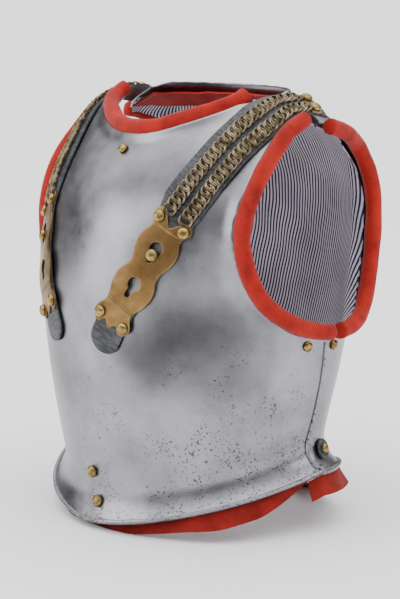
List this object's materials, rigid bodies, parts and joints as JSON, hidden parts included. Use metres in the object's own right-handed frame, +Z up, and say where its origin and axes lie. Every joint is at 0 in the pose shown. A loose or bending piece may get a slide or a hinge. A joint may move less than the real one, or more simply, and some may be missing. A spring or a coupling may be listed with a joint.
{
  "type": "cuirass",
  "caption": "Body armour of a polished steel breastplate and backplate with striped lining, red cloth edge rolls and shoulder straps of leather, brass chain and keyhole plates.",
  "frame": {"origin": "on the floor, under the middle of the object's box", "axes": "+Z up, the breast faces -Y, the wearer's left is +X"},
  "size_m": [0.3878, 0.3079, 0.4371],
  "materials": {
    "polished_steel": "polished, with fine brushing and some pitting",
    "striped_ticking": "navy and pale lilac upright stripes",
    "red_cloth": "matt red wool, stuffed",
    "black_leather": "worn black",
    "brass": "aged brass, dull polish"
  },
  "bodies": {
    "root": {"breastplate": "polished_steel", "backplate": "polished_steel", "breast_lining": "striped_ticking", "back_lining": "striped_ticking", "neck_roll": "red_cloth", "back_neck_band": "red_cloth", "breast_arm_roll_left": "red_cloth", "breast_arm_roll_right": "red_cloth", "back_arm_roll_left": "red_cloth", "back_arm_roll_right": "red_cloth", "front_skirt": "red_cloth", "back_skirt": "red_cloth", "strap_leather_left": "black_leather", "strap_leather_right": "black_leather", "belt_washer_left": "black_leather", "belt_washer_right": "black_leather", "keyhole_plate_left": "brass", "keyhole_plate_right": "brass", "shoulder_plate_left": "brass", "shoulder_plate_right": "brass", "inner_chain_left": "brass", "inner_chain_right": "brass", "outer_chain_left": "brass", "outer_chain_right": "brass", "plate_rivet_1_left": "brass", "plate_rivet_1_right": "brass", "plate_rivet_2_left": "brass", "plate_rivet_2_right": "brass", "plate_rivet_3_left": "brass", "plate_rivet_3_right": "brass", "plate_rivet_4_left": "brass", "plate_rivet_4_right": "brass", "shoulder_rivet_1_left": "brass", "shoulder_rivet_1_right": "brass", "shoulder_rivet_2_left": "brass", "shoulder_rivet_2_right": "brass", "neck_stud": "brass", "waist_stud": "brass", "flare_stud": "brass", "side_stud_left": "brass", "side_stud_right": "brass", "back_side_stud_left": "brass", "back_side_stud_right": "brass", "belt_stud_left": "brass", "belt_stud_right": "brass", "keyhole_stud_left": "brass", "keyhole_stud_right": "brass"}
  },
  "joints": []
}
